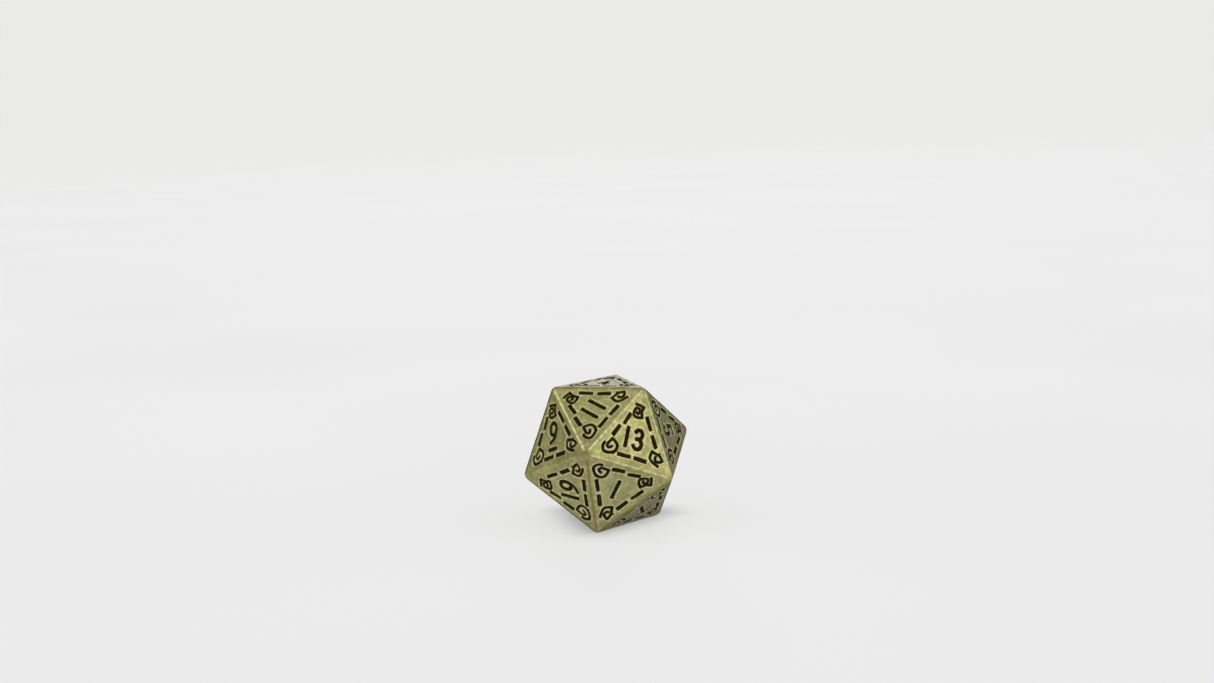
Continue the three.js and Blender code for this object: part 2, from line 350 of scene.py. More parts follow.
def numeral_stroke(item, x, y, half_size):
    return placed(item, x, y, half_size, NUMERAL_STROKE / 2, 1.0, NUMERAL_OVERSHOOT)


def border_stroke(item, x, y, width, taper):
    return placed(item, x, y, (1, 1), width / 2, taper, BORDER_OVERSHOOT)


def digit_places(digits):
    """Where the digits' middles lie, so that the whole numeral is centred."""
    if len(digits) == 1:
        return [0]
    pitch = DIGIT_PITCH if "1" in digits else WIDE_DIGIT_PITCH
    first, second = (0 if digit == "1" else DIGIT_HALF_WIDTH for digit in digits)
    middle = (first - second) / 2
    return [middle - pitch / 2, middle + pitch / 2]


def numeral_marks(number, shift):
    """The marks of a face's numeral, as a list of (node name, strokes)."""
    digits = str(number)
    underlined = number in (6, 9)
    rise = shift[1] + (UNDERLINED_RISE if underlined else NUMERAL_RISE)
    marks = []
    for i, (digit, place) in enumerate(zip(digits, digit_places(digits))):
        part = "" if len(digits) == 1 else ("_tens", "_units")[i]
        x = shift[0] + place
        half_size = (DIGIT_HALF_WIDTH, DIGIT_HALF_HEIGHT)
        strokes = [numeral_stroke(item, x, rise, half_size) for item in DIGITS[digit]]
        marks.append((f"numeral_fill_{number}{part}", strokes))
    if underlined:
        line = stroke([(-UNDERLINE_HALF_LENGTH, 0), (UNDERLINE_HALF_LENGTH, 0)])
        y = rise - DIGIT_HALF_HEIGHT - UNDERLINE_DROP
        middle = shift[0] + UNDERLINE_SHIFT
        strokes = [numeral_stroke(line, middle, y, (1, 1))]
        marks.append((f"numeral_fill_{number}_underline", strokes))
    return marks


def border_strokes(turn, shift):
    """The dashes and spirals of a face, turned by thirds and shifted."""
    strokes = []
    for i, ends in enumerate(DASHES):
        strokes.append(border_stroke(stroke(ends), 0, 0, DASH_STROKE, DASH_TAPERS[i % 2]))
    for (x, y), path in SPIRALS:
        spiral = stroke(smooth_path(path))
        strokes.append(border_stroke(spiral, x, y, SPIRAL_STROKE, SPIRAL_TAPER))
    for number, start, end in SPURS:
        x, y = SPIRALS[number][0]
        spur = stroke((start, end))
        strokes.append(border_stroke(spur, x, y, SPIRAL_STROKE * SPUR_SHARE, SPUR_TAPER))
    angle = turn * 2 * math.pi / 3
    c, s = math.cos(angle), math.sin(angle)
    dx, dy = shift
    return [
        {**item, "path": [(dx + c * x - s * y, dy + s * x + c * y) for x, y in item["path"]]}
        for item in strokes
    ]


# ---- distance fields

STEP = 0.045  # of the grid
MARGIN = 0.42  # to which distances are kept
REACH_SHARE = 1.5  # of a stroke's half width, in which its rounded ends surely lie
END_ROUNDING = 0.09
DEEP_INSIDE = -9.0  # stands for any distance that is far inside
LIP_WIDTH = 0.19  # of the worn lip beside each mark
FLAT_RADIUS = FACE_RADIUS * FLAT_SHARE
FLAT_INRADIUS = FLAT_RADIUS / 2
GRID_X = np.arange(-7.0, 7.0 + STEP, STEP)
GRID_Y = np.arange(-4.2, 7.8 + STEP, STEP)
SIDE_NORMALS = [(math.cos(math.radians(a)), math.sin(math.radians(a))) for a in SIDE_ANGLES]


def inside_depth(x, y):
    """How far a point is inside the flat part of its face."""
    return FLAT_INRADIUS - np.maximum.reduce([nx * x + ny * y for nx, ny in SIDE_NORMALS])


def segment_distance(x, y, a, b, width_a, width_b, flat_a, flat_b, overshoot):
    """Signed distance to a tapered segment. A flat end is cut square, with rounded corners."""
    dx, dy = b[0] - a[0], b[1] - a[1]
    length = math.hypot(dx, dy)
    ux, uy = dx / length, dy / length
    along = (x - a[0]) * ux + (y - a[1]) * uy
    across = (x - a[0]) * -uy + (y - a[1]) * ux
    low = -width_a if flat_a else 0
    high = length + width_b if flat_b else length
    nearest = np.clip(along, low, high)
    width = width_a + (width_b - width_a) * np.clip(along / length, 0, 1)
    distance = np.hypot(along - nearest, across) - width
    ends = np.full_like(distance, DEEP_INSIDE)
    if flat_a:
        ends = np.maximum(ends, -along - width_a * overshoot)
    if flat_b:
        ends = np.maximum(ends, along - length - width_b * overshoot)
    h = np.clip(0.5 + 0.5 * (distance - ends) / END_ROUNDING, 0, 1)
    return distance * h + ends * (1 - h) + END_ROUNDING * h * (1 - h)


# The unevenness of the outlines, as of an engraving that was cut by hand and then cast: waves, by
# their height in mm, how they run along x and y, and where they start.
HAND_WAVES = (
    (0.010, 5.1, 1.3, 0.7),
    (0.009, -2.2, 6.3, 2.1),
    (0.007, 9.7, -7.9, 4.4),
    (0.005, 13.0, 12.1, 1.9),
)


def unevenness(x, y, seed):
    """How much the outlines stray, which differs for each seed."""
    x, y = x + seed, y - SEED_SLANT * seed
    return sum(height * np.sin(kx * x + ky * y + start) for height, kx, ky, start in HAND_WAVES)


def add_stroke(field, item):
    """Lowers the field to the distance from a stroke, where that is less."""
    path = list(item["path"])
    if item["closed"]:
        path.append(path[0])
    count = len(path) - 1
    start, end = item["half_width"]
    for i in range(count):
        a, b = path[i], path[i + 1]
        width_a = start + (end - start) * i / count
        width_b = start + (end - start) * (i + 1) / count
        reach = max(width_a, width_b) * REACH_SHARE + MARGIN
        i0, i1 = np.searchsorted(GRID_X, (min(a[0], b[0]) - reach, max(a[0], b[0]) + reach))
        j0, j1 = np.searchsorted(GRID_Y, (min(a[1], b[1]) - reach, max(a[1], b[1]) + reach))
        x, y = np.meshgrid(GRID_X[i0:i1], GRID_Y[j0:j1])
        flat_a = i == 0 and not item["closed"]
        flat_b = i == count - 1 and not item["closed"]
        distance = segment_distance(
            x, y, a, b, width_a, width_b, flat_a, flat_b, item["overshoot"]
        )
        field[j0:j1, i0:i1] = np.minimum(field[j0:j1, i0:i1], distance)


def field_of(strokes, seed):
    """Distance to the nearest stroke over the grid, negative inside it."""
    field = np.full((len(GRID_Y), len(GRID_X)), MARGIN)
    for item in strokes:
        add_stroke(field, item)
    x, y = np.meshgrid(GRID_X, GRID_Y)
    field = np.minimum(field + unevenness(x, y, seed), MARGIN)
    return np.maximum(field, LIP_WIDTH - inside_depth(x, y))


def sample(field, x, y):
    """The field between the points of its grid."""
    fx = (np.asarray(x) - GRID_X[0]) / STEP
    fy = (np.asarray(y) - GRID_Y[0]) / STEP
    i = np.clip(fx.astype(int), 0, len(GRID_X) - 2)
    j = np.clip(fy.astype(int), 0, len(GRID_Y) - 2)
    u, v = fx - i, fy - j
    low = field[j, i] * (1 - u) + field[j, i + 1] * u
    high = field[j + 1, i] * (1 - u) + field[j + 1, i + 1] * u
    return low * (1 - v) + high * v


# For each pattern of corners inside a cell (bits: 1 low left, 2 low right, 4 high right, 8 high
# left), the sides that the outline enters and leaves by: 0 low, 1 right, 2 high, 3 left.
CELL_LINES = {
    1: ((3, 0),),
    2: ((0, 1),),
    3: ((3, 1),),
    4: ((1, 2),),
    6: ((0, 2),),
    7: ((3, 2),),
    8: ((2, 3),),
    9: ((2, 0),),
    11: ((2, 1),),
    12: ((1, 3),),
    13: ((1, 0),),
    14: ((0, 3),),
}
# The two patterns with opposite corners inside, by whether the outlines keep these apart.
SADDLE_LINES = {
    (5, True): ((3, 0), (1, 2)),
    (5, False): ((3, 2), (1, 0)),
    (10, True): ((0, 1), (2, 3)),
    (10, False): ((0, 3), (2, 1)),
}


def outlines(field, level):
    """Closed loops along which the field has that value."""
    inside = field < level
    pattern = (
        inside[:-1, :-1] * 1 + inside[:-1, 1:] * 2 + inside[1:, 1:] * 4 + inside[1:, :-1] * 8
    )
    follow = {}
    for j, i in zip(*np.nonzero((pattern > 0) & (pattern < 15))):
        i, j = int(i), int(j)
        sides = ((i, j, 0), (i + 1, j, 1), (i, j + 1, 0), (i, j, 1))
        bits = int(pattern[j, i])
        if bits in CELL_LINES:
            lines = CELL_LINES[bits]
        else:
            apart = bool(field[j : j + 2, i : i + 2].mean() >= level)
            lines = SADDLE_LINES[bits, apart]
        for enter, leave in lines:
            follow[sides[enter]] = sides[leave]
    loops = []
    while follow:
        first, side = next(iter(follow.items()))
        loop = [first]
        del follow[first]
        while side != first:
            loop.append(side)
            side = follow.pop(side)
        loops.append(np.array([crossing(field, level, *key) for key in loop]))
    return loops


def crossing(field, level, i, j, upright):
    """Where the field has that value on the grid line from a grid point to the next."""
    here = field[j, i]
    there = field[j + 1, i] if upright else field[j, i + 1]
    t = (level - here) / (there - here)
    if upright:
        return GRID_X[i], GRID_Y[j] + t * STEP
    return GRID_X[i] + t * STEP, GRID_Y[j]


LONGEST_RUN = 14  # of a loop's points that one straight line stands for
TINY = 1e-9


def thinned(loop, tolerance):
    """The loop without the points that a straight line between others can stand for."""
    count = len(loop)
    keep = np.zeros(count, bool)
    far = int(np.argmax(np.hypot(*(loop - loop[0]).T)))
    keep[[0, far]] = True
    closed = np.vstack([loop, loop[:1]])
    spans = [(0, far), (far, count)]
    while spans:
        a, b = spans.pop()
        if b - a < 2:
            continue
        run = closed[b] - closed[a]
        length = max(math.hypot(*run), TINY)
        rest = closed[a + 1 : b] - closed[a]
        off = np.abs(rest[:, 0] * run[1] - rest[:, 1] * run[0]) / length
        worst = int(np.argmax(off))
        if off[worst] > tolerance or b - a > LONGEST_RUN:
            middle = a + 1 + worst if off[worst] > tolerance else (a + b) // 2
            keep[middle % count] = True
            spans += [(a, middle), (middle, b)]
    return loop[keep]


CDT_TOLERANCE = 1e-7
MIDDLE_TOLERANCE = 1e-6


def triangles_within(loops, free, keep):
    """Triangles between loops that edges follow and free points, kept by a test of each middle."""
    edges = []
    coords = []
    for loop in loops:
        first = len(coords)
        coords += [Vector(p) for p in loop]
        edges += [(first + k, first + (k + 1) % len(loop)) for k in range(len(loop))]
    coords += [Vector(p) for p in free]
    verts, _, faces, _, _, _ = delaunay_2d_cdt(coords, edges, [], 0, CDT_TOLERANCE)
    verts = np.array([tuple(v) for v in verts])
    faces = np.array([tuple(f) for f in faces if len(f) == 3])
    middles = verts[faces].mean(axis=1)
    faces = faces[keep(middles[:, 0], middles[:, 1])]
    a, b, c = (verts[faces[:, k]] for k in range(3))
    area = (b[:, 0] - a[:, 0]) * (c[:, 1] - a[:, 1]) - (b[:, 1] - a[:, 1]) * (c[:, 0] - a[:, 0])
    faces = faces[np.abs(area) > TINY]
    area = area[np.abs(area) > TINY]
    faces[area < 0] = faces[area < 0][:, ::-1]
    return verts, faces


# ---- the casting

# Section of a groove: distance from the edge of the mark, and height.
SECTION = (
    (-0.080, -GROOVE_DEPTH), (-0.050, -0.210), (-0.030, -0.140), (0.005, -0.082), (0.055, -0.040),
    (0.115, -0.012), (LIP_WIDTH, 0.0),
)
SECTION_D = [d for d, _ in SECTION]
SECTION_Z = [z for _, z in SECTION]
EDGE_STEPS = 44  # along an edge
ROUND_STEPS = 8  # across the rounding
RIM_WIDTH = 1e-4  # within which a point counts as being on the rim
RIM_GAP = 0.03  # that the outermost loops keep from the rim, and each next loop as much again
LOOP_TOLERANCE = 0.006  # by which a thinned loop may stray
RING_INSETS = (0.1, 0.24, 0.45)  # of the rings of loose points inside the rim
SPREAD = 0.42  # between the other loose points
SPREAD_X = (-6.0, 6.2)
SPREAD_Y = (-3.5, 7.0)
SPREAD_INSET = 0.6  # that those keep from the rim
LIP_CLEARANCE = 0.04  # that loose points keep from the lips
ROW_SHARE = 0.866  # of the spread, from one row of a triangular grid to the next
CORNER_RIDGE = 0.6  # the ridge share of the corners
ANY_DIRECTION = (0.3, 0.5, 0.8)  # not along any corner
# The wear: the scale of its broad and fine dents per mm, and how deep they go in mm.
BROAD_SCALE = 0.45
FINE_SCALE = 1.6
FINE_SHIFT = Vector((7.1, 3.3, 5.7))
BROAD_DEPTH = 0.010  # everywhere
EDGE_BROAD_DEPTH = 0.02  # along the edges, on top of that
EDGE_FINE_DEPTH = 0.022
EDGE_WEAR = 0.008  # that the edges have lost all along
WEAR_REACH = 0.18  # how far wear reaches into a face from its rim, in mm
MARGIN_REACH = 0.8  # how far the darker margin reaches into it
WELD_DISTANCE = 2e-7  # metres


def rim_points():
    """The rim of the flat part of a face, corner to corner, the same distance apart all round."""
    angles = [math.radians(a) for a in CORNER_ANGLES]
    corners = [np.array([FLAT_RADIUS * math.cos(a), FLAT_RADIUS * math.sin(a)]) for a in angles]
    rim = []
    for k in range(3):
        a, b = corners[k], corners[(k + 1) % 3]
        rim += [a + (b - a) * t / EDGE_STEPS for t in range(EDGE_STEPS)]
    return np.array(rim)


def loose_points(field):
    """Points over the plain metal of a face: rings inside its rim, and an even spread."""
    rim = rim_points()
    rings = [rim * (1 - inset / FLAT_INRADIUS) for inset in RING_INSETS]
    rows = np.arange(*SPREAD_Y, SPREAD * ROW_SHARE)
    grid = [
        (x + (SPREAD / 2 if k % 2 else 0), y)
        for k, y in enumerate(rows)
        for x in np.arange(*SPREAD_X, SPREAD)
    ]
    grid = np.array([p for p in grid if inside_depth(*p) > SPREAD_INSET])
    points = np.vstack([*rings, grid])
    return points[sample(field, points[:, 0], points[:, 1]) > LIP_WIDTH + LIP_CLEARANCE]


def kept_inside(loop, gap):
    """The loop, moved in where it would come nearer than the gap to the rim of the flat part."""
    for normal in np.array(SIDE_NORMALS):
        beyond = np.maximum(loop @ normal - FLAT_INRADIUS + gap, 0)
        loop = loop - np.outer(beyond, normal)
    return loop


def face_surface(field):
    """The flat part of a face with its grooves: points, triangles, heights and distances."""
    rim = rim_points()
    loops = [
        thinned(kept_inside(loop, RIM_GAP * (1 + k)), LOOP_TOLERANCE)
        for k, level in enumerate(reversed(SECTION_D))
        for loop in outlines(field, level)
    ]

    def within(x, y):
        return inside_depth(x, y) > -MIDDLE_TOLERANCE

    flat, faces = triangles_within([rim, *loops], loose_points(field), within)
    # A triangle with all its corners along one side is a sliver outside the rim.
    beside = FLAT_INRADIUS - flat @ np.array(SIDE_NORMALS).T < RIM_WIDTH
    faces = faces[~beside[faces].all(axis=1).any(axis=1)]
    distance = sample(field, flat[:, 0], flat[:, 1])
    depth = inside_depth(flat[:, 0], flat[:, 1])
    height = np.interp(distance, SECTION_D, SECTION_Z) * np.clip(depth / RIM_GAP, 0, 1)
    return flat, faces, height, distance


def slerp(a, b, t):
    """The direction a share t of the way from one direction to another."""
    angle = math.acos(float(np.clip(np.dot(a, b), -1, 1)))
    return (np.sin((1 - t) * angle) * a + np.sin(t * angle) * b) / math.sin(angle)


def edge_owners():
    """The two faces that meet in each edge, by its two corners in alphabetical order."""
    owners = {}
    for number, (corners, _, _) in FACES.items():
        for k in range(3):
            key = tuple(sorted((corners[k], corners[(k + 1) % 3])))
            owners.setdefault(key, []).append(number)
    return owners


def add_strip(verts, faces, ends, n1, n2):
    """The rounding of an edge, between the normals of its two faces. Its rows of points, too."""
    a, b = (corner_point(name) * FLAT_SHARE for name in ends)
    normals = [slerp(n1, n2, t / ROUND_STEPS) for t in range(ROUND_STEPS + 1)]
    rows = [
        [a + (b - a) * t / EDGE_STEPS + EDGE_RADIUS * normal for t in range(EDGE_STEPS + 1)]
        for normal in normals
    ]
    first = len(verts)
    for row in rows:
        verts.extend(row)
    width = EDGE_STEPS + 1
    for r in range(ROUND_STEPS):
        for c in range(EDGE_STEPS):
            corner = first + r * width + c
            faces.append((corner, corner + 1, corner + width + 1, corner + width))
    return rows


def normals_around(name, face_frames):
    """The direction of a corner, and the normals of its five faces in order round it."""
    centre = corner_point(name) * FLAT_SHARE
    around = centre / np.linalg.norm(centre)
    side = np.cross(around, ANY_DIRECTION)
    side /= np.linalg.norm(side)
    other = np.cross(around, side)
    normals = [face_frames[n].out for n, (corners, _, _) in FACES.items() if name in corners]
    normals.sort(key=lambda n: math.atan2(np.dot(n, other), np.dot(n, side)))
    return around, normals


def rounded_edges(face_frames):
    """Strips along the edges and caps over the corners, which join the flat faces.

    It also gives each point's ridge share, 1 along the middle of an edge, and its painted wear
    and light.
    """
    verts, faces, ridge, wear_and_light = [], [], [], []
    for ends, (one, two) in edge_owners().items():
        rows = add_strip(verts, faces, ends, face_frames[one].out, face_frames[two].out)
        for row, t in zip(rows, np.linspace(0, 1, ROUND_STEPS + 1)):
            ridge += [4 * t * (1 - t)] * len(row)
            wear_and_light += polish_at(np.array(row), ends).tolist()
    for name in sorted({name for corners, _, _ in FACES.values() for name in corners}):
        around, normals = normals_around(name, face_frames)
        for k in range(5):
            n1, n2 = normals[k], normals[(k + 1) % 5]
            add_cap(verts, faces, corner_point(name) * FLAT_SHARE, around, n1, n2)
        ridge += [CORNER_RIDGE] * (len(verts) - len(ridge))
        wear_and_light += [corner_polish(name)] * (len(verts) - len(wear_and_light))
    return np.array(verts), faces, ridge, wear_and_light


def add_cap(verts, faces, centre, around, n1, n2):
    """One fifth of the ball over a corner, between its middle and two faces."""
    rows = []
    for r in range(ROUND_STEPS + 1):
        left, right = slerp(around, n1, r / ROUND_STEPS), slerp(around, n2, r / ROUND_STEPS)
        if r == 0:
            rows.append([around])
        else:
            rows.append([slerp(left, right, c / r) for c in range(r + 1)])
    index = []
    for row in rows:
        index.append([len(verts) + c for c in range(len(row))])
        verts.extend(centre + EDGE_RADIUS * direction for direction in row)
    for r in range(ROUND_STEPS):
        for c in range(r + 1):
            faces.append((index[r][c], index[r + 1][c], index[r + 1][c + 1]))
            if c < r:
                faces.append((index[r][c], index[r + 1][c + 1], index[r][c + 1]))


def worn(points, edge_share):
    """The points with small dents and flats, more of them along the edges and corners."""
    moved = points.copy()
    for k, p in enumerate(points):
        v = Vector(p)
        broad = noise.noise(v * BROAD_SCALE)
        fine = noise.noise(v * FINE_SCALE + FINE_SHIFT)
        at_edge = EDGE_FINE_DEPTH * fine + EDGE_BROAD_DEPTH * broad - EDGE_WEAR
        depth = BROAD_DEPTH * broad + edge_share[k] * at_edge
        moved[k] = p + np.array(v.normalized()) * depth
    return moved


def mesh_object(name, points, faces):
    """An object from points in millimetres about the middle of the die."""
    mesh = bpy.data.meshes.new(name)
    metres = (np.asarray(points) + [0, 0, INRADIUS]) * MM
    mesh.from_pydata(metres.tolist(), [], [tuple(int(v) for v in face) for face in faces])
    mesh.validate()
    mesh.polygons.foreach_set("use_smooth", [True] * len(mesh.polygons))
    mesh.update()
    obj = bpy.data.objects.new(name, mesh)
    bpy.context.scene.collection.objects.link(obj)
    return obj


def weld(obj):
    """Joins the parts of a mesh along their common borders, and says so if it is not closed."""
    bm = bmesh.new()
    bm.from_mesh(obj.data)
    bmesh.ops.remove_doubles(bm, verts=bm.verts, dist=WELD_DISTANCE)
    bmesh.ops.recalc_face_normals(bm, faces=bm.faces)
    bm.to_mesh(obj.data)
    open_edges = sum(1 for e in bm.edges if not e.is_manifold)
    bm.free()
    if open_edges:
        print(obj.name, "open edges", open_edges)


def build_casting(face_frames, fields):
    """The casting, with what its material needs to know of each point."""
    points, faces, depths, groove, wear_and_light, face_shade = [], [], [], [], [], []
    count = 0
    for number, face_frame in face_frames.items():
        flat, tris, height, distance = face_surface(fields[number])
        points.append(face_frame.place(flat[:, 0], flat[:, 1], height))
        depths.append(np.maximum(inside_depth(flat[:, 0], flat[:, 1]), 0))
        groove.append(np.clip(1 - distance / MARGIN, 0, 1))
        wear_and_light.append(face_polish(points[-1], FACES[number][0]))
        # Painted shade on the faces turned from the light, fading out towards the rim.
        shade_amount = FACE_PAINTED_SHADE.get(number, USUAL_FACE_SHADE)
        face_shade.append(shade_amount * np.clip(depths[-1] / FACE_SHADE_FADE, 0, 1))
        faces += (tris + count).tolist()
        count += len(flat)
    round_points, round_faces, ridge, round_wear_and_light = rounded_edges(face_frames)
    points.append(round_points)
    depths.append(np.zeros(len(round_points)))
    groove.append(np.zeros(len(round_points)))
    faces += [tuple(v + count for v in face) for face in round_faces]
    points, depths = np.vstack(points), np.hstack(depths)
    obj = mesh_object("die_body", worn(points, np.exp(-depths / WEAR_REACH)), faces)
    shares = {
        "margin_share": np.exp(-depths / MARGIN_REACH),
        "groove_share": np.hstack(groove),
        "ridge_share": np.hstack([np.zeros(count), ridge]),
        "wear_and_light_share": np.hstack([*wear_and_light, round_wear_and_light]),
        "face_shade_share": np.hstack([*face_shade, np.zeros(len(round_points))]),
    }
    for name, values in shares.items():
        layer = obj.data.attributes.new(name, "FLOAT", "POINT")
        layer.data.foreach_set("value", values.astype(np.float32))
    weld(obj)
    return obj


# ---- the enamel

ENAMEL_LEVELS = (-0.020, -0.055, -0.090, -0.140)  # distances at which its surface has loops
ENAMEL_RIM = -0.160  # height at the walls of the groove
ENAMEL_DIP = 0.050  # below that in the middle
ENAMEL_DIP_WIDTH = 0.16  # from a wall to the full dip
ENAMEL_FLOOR = -GROOVE_DEPTH + 0.02
ENAMEL_TOLERANCE = 0.005  # by which a thinned loop may stray


def thinned_outlines(field, level):
    """The outlines, thinned, without specks that have no width left."""
    loops = [thinned(loop, ENAMEL_TOLERANCE) for loop in outlines(field, level)]
    return [loop for loop in loops if len(loop) > 2]


def enamel_mesh(field, face_frame):
    """Enamel that lies in a groove: a top that dips between its walls, and a flat underside."""
    level = ENAMEL_LEVELS[0]
    loops = [loop for value in ENAMEL_LEVELS for loop in thinned_outlines(field, value)]
    rims = thinned_outlines(field, level)

    def within(x, y):
        return sample(field, x, y) < level

    top, top_faces = triangles_within(loops, [], within)
    distance = sample(field, top[:, 0], top[:, 1])
    depth = np.clip((level - distance) / ENAMEL_DIP_WIDTH, 0, 1)
    height = ENAMEL_RIM - ENAMEL_DIP * np.sin(depth * math.pi / 2)
    low, low_faces = triangles_within(rims, [], within)
    points = [
        face_frame.place(top[:, 0], top[:, 1], height),
        face_frame.place(low[:, 0], low[:, 1], np.full(len(low), ENAMEL_FLOOR)),
    ]
    faces = top_faces.tolist() + (low_faces[:, ::-1] + len(top)).tolist()
    count = len(top) + len(low)
    for rim in rims:
        upper = face_frame.place(rim[:, 0], rim[:, 1], np.full(len(rim), ENAMEL_RIM))
        lower = face_frame.place(rim[:, 0], rim[:, 1], np.full(len(rim), ENAMEL_FLOOR))
        points += [upper, lower]
        size = len(rim)
        for k in range(size):
            n = (k + 1) % size
            faces.append((count + k, count + size + k, count + size + n, count + n))
        count += 2 * size
    points = np.vstack(points)
    return worn(points, np.zeros(len(points))), faces


def build_enamel(name, strokes, face_frame, seed):
    points, faces = enamel_mesh(field_of(strokes, seed), face_frame)
    obj = mesh_object(name, points, faces)
    weld(obj)
    obj.data.materials.append(ENAMEL)
    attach(obj, "root")
    return obj


# ---- materials


class Nodes:
    """Short ways to add and join the nodes of a material or of the world."""

    def __init__(self, owner, coords):
        owner.use_nodes = True
        self.tree = owner.node_tree
        self.coords = self.new("TexCoord").outputs[coords]

    def new(self, kind):
        return self.tree.nodes.new("ShaderNode" + kind)

    def set(self, socket, value):
        """Gives a socket a constant value, or the value of another socket."""
        if isinstance(value, bpy.types.NodeSocket):
            self.tree.links.new(value, socket)
        else:
            socket.default_value = value

    def noise(self, scale, detail, rough, distort=0.0):
        node = self.new("TexNoise")
        node.inputs["Scale"].default_value = scale
        node.inputs["Detail"].default_value = detail
        node.inputs["Roughness"].default_value = rough
        node.inputs["Distortion"].default_value = distort
        self.set(node.inputs["Vector"], self.coords)
        return node.outputs["Fac"]

    def attribute(self, name):
        node = self.new("Attribute")
        node.attribute_name = name
        return node.outputs["Fac"]

    def span(self, value, low, high, to_low=0.0, to_high=1.0):
        """Goes smoothly from one number to another while the value goes from low to high."""
        node = self.new("MapRange")
        node.interpolation_type = "SMOOTHSTEP"
        self.set(node.inputs["Value"], value)
        limits = {"From Min": low, "From Max": high, "To Min": to_low, "To Max": to_high}
        for key, number in limits.items():
            node.inputs[key].default_value = number
        return node.outputs["Result"]

    def math(self, kind, a, b):
        node = self.new("Math")
        node.operation = kind
        self.set(node.inputs[0], a)
        self.set(node.inputs[1], b)
        return node.outputs["Value"]

    def times(self, a, b):
        return self.math("MULTIPLY", a, b)

    def vector_math(self, kind, vector, other=None, output="Value"):
        node = self.new("VectorMath")
        node.operation = kind
        self.set(node.inputs[0], vector)
        if other is not None:
            node.inputs[1].default_value = other
        return node.outputs[output]

    def mix(self, factor, a, b):
        node = self.new("Mix")
        node.data_type = "RGBA"
        self.set(node.inputs["Factor"], factor)
        for key, value in (("A", a), ("B", b)):
            socket = next(s for s in node.inputs if s.name == key and s.type == "RGBA")
            self.set(socket, (*value, 1.0) if isinstance(value, tuple) else value)
        return next(s for s in node.outputs if s.type == "RGBA")

    def bump(self, height, strength, distance, normal=None):
        node = self.new("Bump")
        node.inputs["Strength"].default_value = strength
        node.inputs["Distance"].default_value = distance
        self.set(node.inputs["Height"], height)
        if normal is not None:
            self.set(node.inputs["Normal"], normal)
        return node.outputs["Normal"]

    def blended_surface(self, factor, one, other, output):
        """Sends a blend of two shaders to the output."""
        blend = self.new("MixShader")
        self.set(blend.inputs["Fac"], factor)
        self.set(blend.inputs[1], one)
        self.set(blend.inputs[2], other)
        self.set(self.tree.nodes[output].inputs["Surface"], blend.outputs["Shader"])


def new_material(name):
    """A material, its nodes and the sockets of its surface."""
    material = bpy.data.materials.new(name)
    nodes = Nodes(material, "Object")
    return material, nodes, nodes.tree.nodes["Principled BSDF"].inputs


# Noises: scale per metre, detail, roughness and distortion.
CLOUDS = (170, 4, 0.55, 0.4)
TINTS = (330, 3, 0.5, 0.8)
MOTTLE = (700, 5, 0.6, 0.3)
SPECKLE = (1900, 3, 0.6)
GRAIN = (4200, 2, 0.6)
ENAMEL_MOTTLE = (1500, 4, 0.6)
ENAMEL_PATCHES = (420, 3, 0.5)
FLOOR_TONE = (9, 2, 0.4)

PLATING_DARK = (0.33, 0.305, 0.108)
PLATING_LIGHT = (0.52, 0.49, 0.195)
PLATING_REDDISH = (0.50, 0.380, 0.200)
PLATING_GREENISH = (0.38, 0.415, 0.140)
MOTTLE_COLOUR = (0.28, 0.262, 0.110)
SPECKLE_DARK = (0.23, 0.215, 0.080)
SPECKLE_LIGHT = (0.66, 0.63, 0.32)
MARGIN_COLOUR = (0.26, 0.24, 0.095)
# Painted shade, greyish, for the faces turned from the light.
FACE_SHADE_COLOUR = (0.215, 0.212, 0.155)
# Rubbed lips, partly a painted highlight.
LIP_WEAR_AND_HIGHLIGHT = (0.74, 0.71, 0.39)
STAIN_COLOUR = (0.045, 0.035, 0.007)
# Rubbed edges, partly a painted highlight on the edges that catch the light.
RUBBED_EDGE_AND_HIGHLIGHT = (0.70, 0.66, 0.34)
# Painted shade: a dark line along the ridges of the least rubbed edges, for the dark rim they show.
PAINTED_DARK_RIM = (0.15, 0.135, 0.050)
GRAZING_TINT = (0.36, 0.37, 0.50, 1)  # of the metal where it is seen at a grazing angle
RUBBED_SHEEN = 0.14  # by which rubbed edges are less rough
ENAMEL_DARK = (0.012, 0.009, 0.001)
ENAMEL_LIGHT = (0.034, 0.025, 0.004)
ENAMEL_RUSTY = (0.070, 0.038, 0.010)
FLOOR_DARK = (0.215, 0.215, 0.215)
FLOOR_LIGHT = (0.235, 0.235, 0.235)
WHITE = (1, 1, 1, 1)


def plating_colour(n, clouds, mottle, speckle):
    """Broad darker and lighter clouds, reddish and greenish tints, fine speckles, and painted shade
    on the faces turned from the light.
    """
    tints = n.noise(*TINTS)
    plain = n.mix(n.span(clouds, 0.32, 0.68), PLATING_DARK, PLATING_LIGHT)
    plain = n.mix(n.times(n.span(tints, 0.53, 0.66), 0.9), plain, PLATING_REDDISH)
    plain = n.mix(n.times(n.span(tints, 0.47, 0.34), 0.9), plain, PLATING_GREENISH)
    plain = n.mix(n.times(n.span(mottle, 0.46, 0.64), 0.55), plain, MOTTLE_COLOUR)
    plain = n.mix(n.times(n.span(speckle, 0.50, 0.68), 0.5), plain, SPECKLE_DARK)
    plain = n.mix(n.times(n.span(speckle, 0.48, 0.32), 0.5), plain, SPECKLE_LIGHT)
    margin = n.times(n.attribute("margin_share"), n.span(mottle, 0.36, 0.62, 0.2, 0.6))
    plain = n.mix(margin, plain, MARGIN_COLOUR)
    # Painted shade: the faces turned from the light are mixed towards a greyish dark.
    return n.mix(n.attribute("face_shade_share"), plain, FACE_SHADE_COLOUR)


